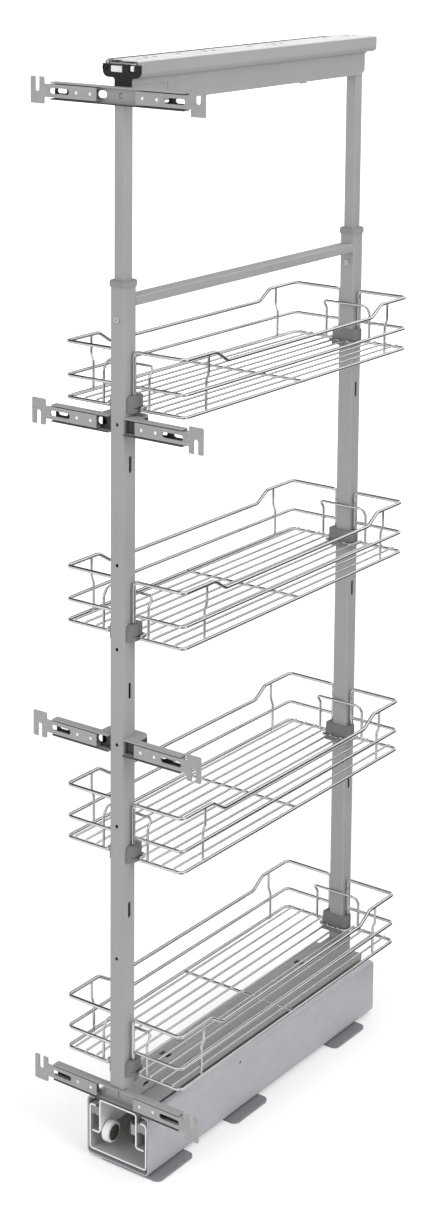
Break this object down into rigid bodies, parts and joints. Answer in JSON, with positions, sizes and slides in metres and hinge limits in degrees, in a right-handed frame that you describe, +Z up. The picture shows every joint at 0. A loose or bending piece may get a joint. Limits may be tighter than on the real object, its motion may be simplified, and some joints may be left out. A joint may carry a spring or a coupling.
{
  "type": "pull out larder unit",
  "caption": "Narrow kitchen pull-out frame with wire baskets between two telescopic posts on floor and top slides.",
  "frame": {"origin": "on the cabinet floor, midway between the two posts and on the unit's centre line", "axes": "+X to the right seen from the door, -Y towards the cabinet door, +Z up"},
  "size_m": [0.248, 0.504, 1.3295],
  "materials": {
    "housing_steel": "satin pale grey lacquer on folded steel",
    "foot_steel": "satin mid grey lacquer",
    "slide_steel": "satin grey, bright cut edges",
    "light_plastic": "matt moulded",
    "ball_strip": "bright strip with balls",
    "silver_lacquer": "satin silver grey lacquer",
    "collar_grey": "matt moulded, silver grey",
    "screw_zinc": "zinc plated",
    "dark_steel": "blackened",
    "white_plastic": "smooth moulded",
    "head_lacquer": "satin silver grey lacquer",
    "black_plastic": "matt moulded",
    "white_zinc": "pale satin finish",
    "bracket_zinc": "galvanised, matt",
    "grey_plastic": "matt moulded, dark grey",
    "chrome_wire": "polished chrome on welded wire"
  },
  "bodies": {
    "base": {"base_housing": "housing_steel", "mounting_feet": "foot_steel"},
    "intermediate": {"intermediate_profile": "slide_steel", "guide_blocks": "light_plastic", "ball_strips": "ball_strip"},
    "carriage": {"carriage_profile": "slide_steel", "carriage_plate": "slide_steel", "base_beam": "silver_lacquer", "adjuster_barrel": "screw_zinc", "adjuster_bolt": "dark_steel", "front_post": "silver_lacquer", "rear_post": "silver_lacquer", "collars": "collar_grey", "cross_bar": "silver_lacquer", "clamp_screws": "screw_zinc", "beam_screws": "screw_zinc", "roller_hub": "dark_steel", "bracket_channel_2": "bracket_zinc", "bracket_channel_3": "bracket_zinc", "bracket_channel_4": "bracket_zinc", "bracket_clamps": "screw_zinc", "front_clips": "grey_plastic", "rear_clips": "grey_plastic"},
    "roller": {"front_roller": "white_plastic"},
    "upper_frame": {"front_upper_tube": "silver_lacquer", "rear_upper_tube": "silver_lacquer", "top_housing": "head_lacquer", "top_end_cap": "black_plastic", "top_inner_member": "white_zinc", "bracket_channel_1": "bracket_zinc"},
    "top_rail": {"top_rail": "white_zinc"},
    "top_intermediate": {"top_intermediate": "white_zinc", "top_ball_cages": "ball_strip"},
    "arm_1_left": {"arm_1_left": "bracket_zinc"},
    "arm_1_right": {"arm_1_right": "bracket_zinc"},
    "arm_2_left": {"arm_2_left": "bracket_zinc"},
    "arm_2_right": {"arm_2_right": "bracket_zinc"},
    "arm_3_left": {"arm_3_left": "bracket_zinc"},
    "arm_3_right": {"arm_3_right": "bracket_zinc"},
    "arm_4_left": {"arm_4_left": "bracket_zinc"},
    "arm_4_right": {"arm_4_right": "bracket_zinc"},
    "basket_1": {"basket_1": "chrome_wire"},
    "basket_2": {"basket_2": "chrome_wire"},
    "basket_3": {"basket_3": "chrome_wire"},
    "basket_4": {"basket_4": "chrome_wire"}
  },
  "joints": [
    {"name": "pull_out", "type": "slide", "parent": "base", "child": "carriage", "axis": [0, -1, 0], "range_m": [0, 0.47]},
    {"name": "intermediate_slide", "type": "slide", "parent": "base", "child": "intermediate", "axis": [0, -1, 0], "range_m": [0, 0.235]},
    {"name": "roller_spin", "type": "hinge", "parent": "carriage", "child": "roller", "pos_m": [-0.02, -0.23325, 0.0335], "axis": [1, 0, 0], "continuous": true},
    {"name": "height_adjust", "type": "slide", "parent": "carriage", "child": "upper_frame", "axis": [0, 0, 1], "range_m": [-0.178, 0]},
    {"name": "rail_height", "type": "slide", "parent": "base", "child": "top_rail", "axis": [0, 0, 1], "range_m": [-0.178, 0]},
    {"name": "top_slide", "type": "slide", "parent": "top_rail", "child": "top_intermediate", "axis": [0, -1, 0], "range_m": [0, 0.235]},
    {"name": "arm_1_left_width", "type": "slide", "parent": "upper_frame", "child": "arm_1_left", "axis": [-1, 0, 0], "range_m": [-0.008, 0.015]},
    {"name": "arm_1_right_width", "type": "slide", "parent": "upper_frame", "child": "arm_1_right", "axis": [1, 0, 0], "range_m": [-0.008, 0.015]},
    {"name": "arm_2_left_width", "type": "slide", "parent": "carriage", "child": "arm_2_left", "axis": [-1, 0, 0], "range_m": [-0.008, 0.015]},
    {"name": "arm_2_right_width", "type": "slide", "parent": "carriage", "child": "arm_2_right", "axis": [1, 0, 0], "range_m": [-0.008, 0.015]},
    {"name": "arm_3_left_width", "type": "slide", "parent": "carriage", "child": "arm_3_left", "axis": [-1, 0, 0], "range_m": [-0.008, 0.015]},
    {"name": "arm_3_right_width", "type": "slide", "parent": "carriage", "child": "arm_3_right", "axis": [1, 0, 0], "range_m": [-0.008, 0.015]},
    {"name": "arm_4_left_width", "type": "slide", "parent": "carriage", "child": "arm_4_left", "axis": [-1, 0, 0], "range_m": [-0.008, 0.015]},
    {"name": "arm_4_right_width", "type": "slide", "parent": "carriage", "child": "arm_4_right", "axis": [1, 0, 0], "range_m": [-0.008, 0.015]},
    {"name": "basket_1_lift", "type": "slide", "parent": "carriage", "child": "basket_1", "axis": [0, 0, 1], "range_m": [0, 0.015]},
    {"name": "basket_2_lift", "type": "slide", "parent": "carriage", "child": "basket_2", "axis": [0, 0, 1], "range_m": [0, 0.015]},
    {"name": "basket_3_lift", "type": "slide", "parent": "carriage", "child": "basket_3", "axis": [0, 0, 1], "range_m": [0, 0.015]},
    {"name": "basket_4_lift", "type": "slide", "parent": "carriage", "child": "basket_4", "axis": [0, 0, 1], "range_m": [0, 0.015]}
  ],
  "couplings": [
    {"joint": "intermediate_slide", "follows": "pull_out", "ratio": 0.5},
    {"joint": "top_slide", "follows": "pull_out", "ratio": 0.5},
    {"joint": "rail_height", "follows": "height_adjust", "ratio": 1}
  ]
}
